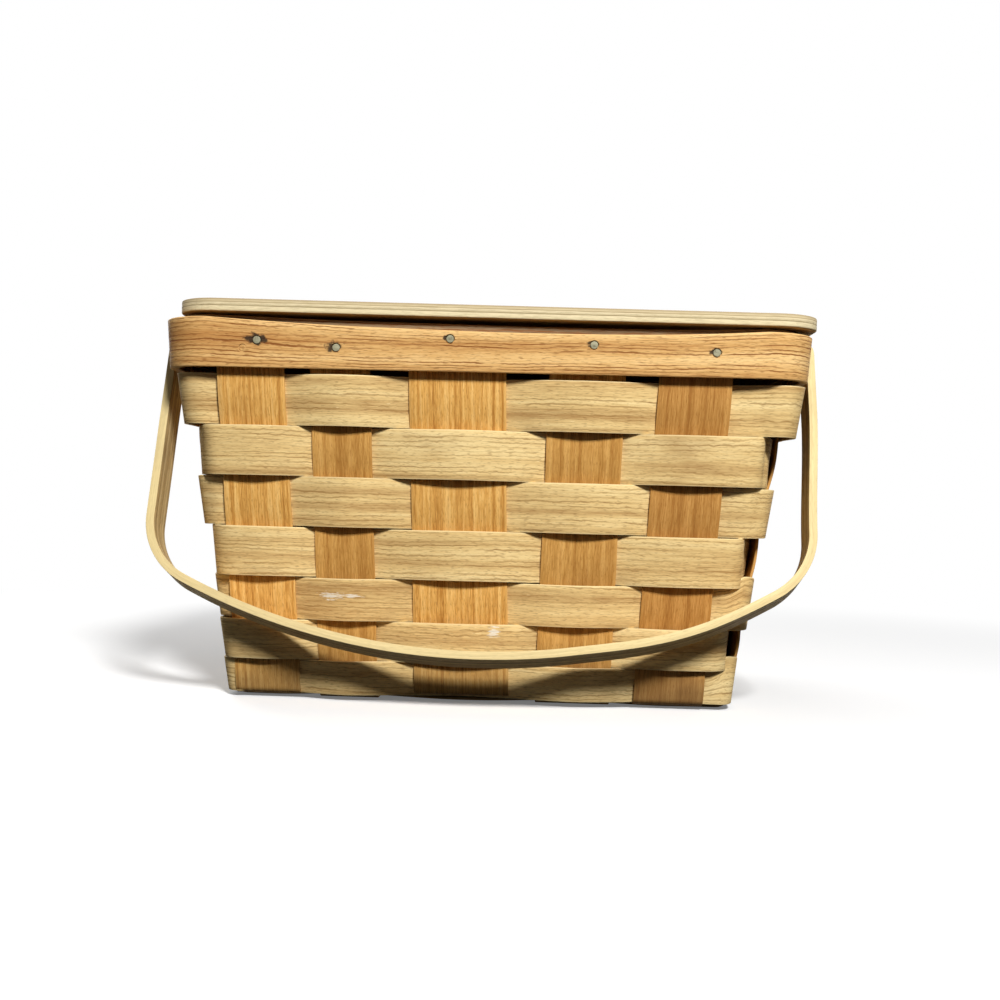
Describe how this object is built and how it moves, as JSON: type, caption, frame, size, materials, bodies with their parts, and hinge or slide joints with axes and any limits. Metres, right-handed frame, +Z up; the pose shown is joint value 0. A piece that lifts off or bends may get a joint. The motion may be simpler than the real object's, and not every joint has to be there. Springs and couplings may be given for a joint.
{
  "type": "lidded splint basket",
  "caption": "Tapered plain-woven splint basket with bent wood rims, a flat plywood lid hinged along the back and bentwood swing handles.",
  "frame": {"origin": "on the floor, under the middle of the basket's rim, on the flat underside of the woven base", "axes": "+Z up, +X to the right along the basket's length, front (the side shown in the picture) towards -Y"},
  "size_m": [0.378, 0.2607, 0.2199],
  "materials": {
    "weaver_splint": "bare riven splint, pale tan, satin",
    "stake_splint": "bare riven splint, honey brown, satin",
    "rim_wood": "bent open-pored wood, aged oil finish",
    "lid_plywood": "plywood board with bare edge, aged varnish",
    "handle_wood": "bentwood band, worn satin",
    "spacer_wood": "turned hardwood, dark oil",
    "nail_iron": "weathered flat heads",
    "hinge_steel": "tarnished plated steel",
    "rivet_steel": "tarnished steel"
  },
  "bodies": {
    "basket": {"weaver_1": "weaver_splint", "weaver_2": "weaver_splint", "weaver_3": "weaver_splint", "weaver_4": "weaver_splint", "weaver_5": "weaver_splint", "weaver_6": "weaver_splint", "weaver_7": "weaver_splint", "cross_stake_1": "stake_splint", "cross_stake_2": "stake_splint", "cross_stake_3": "stake_splint", "cross_stake_4": "stake_splint", "cross_stake_5": "stake_splint", "length_stake_1": "stake_splint", "length_stake_2": "stake_splint", "length_stake_3": "stake_splint", "outer_rim": "rim_wood", "inner_rim": "rim_wood", "rim_nails": "nail_iron", "hinge_rim_leaf_left": "hinge_steel", "hinge_rim_leaf_right": "hinge_steel", "hinge_pin_left": "hinge_steel", "hinge_pin_right": "hinge_steel", "hinge_rim_screws": "hinge_steel", "handle_rivets": "rivet_steel", "handle_spacers": "spacer_wood", "rivet_burrs": "rivet_steel"},
    "lid": {"lid_board": "lid_plywood", "hinge_lid_leaf_left": "hinge_steel", "hinge_lid_leaf_right": "hinge_steel", "hinge_lid_screws": "hinge_steel"},
    "front_handle": {"front_handle": "handle_wood"},
    "back_handle": {"back_handle": "handle_wood"}
  },
  "joints": [
    {"name": "lid_hinge", "type": "hinge", "parent": "basket", "child": "lid", "pos_m": [0, 0.1219, 0.2105], "axis": [-1, 0, 0], "range_deg": [0, 100]},
    {"name": "front_handle_swing", "type": "hinge", "parent": "basket", "child": "front_handle", "pos_m": [0, -0.058, 0.1969], "axis": [-1, 0, 0], "range_deg": [0, 174]},
    {"name": "back_handle_swing", "type": "hinge", "parent": "basket", "child": "back_handle", "pos_m": [0, 0.058, 0.1969], "axis": [1, 0, 0], "range_deg": [0, 174]}
  ]
}
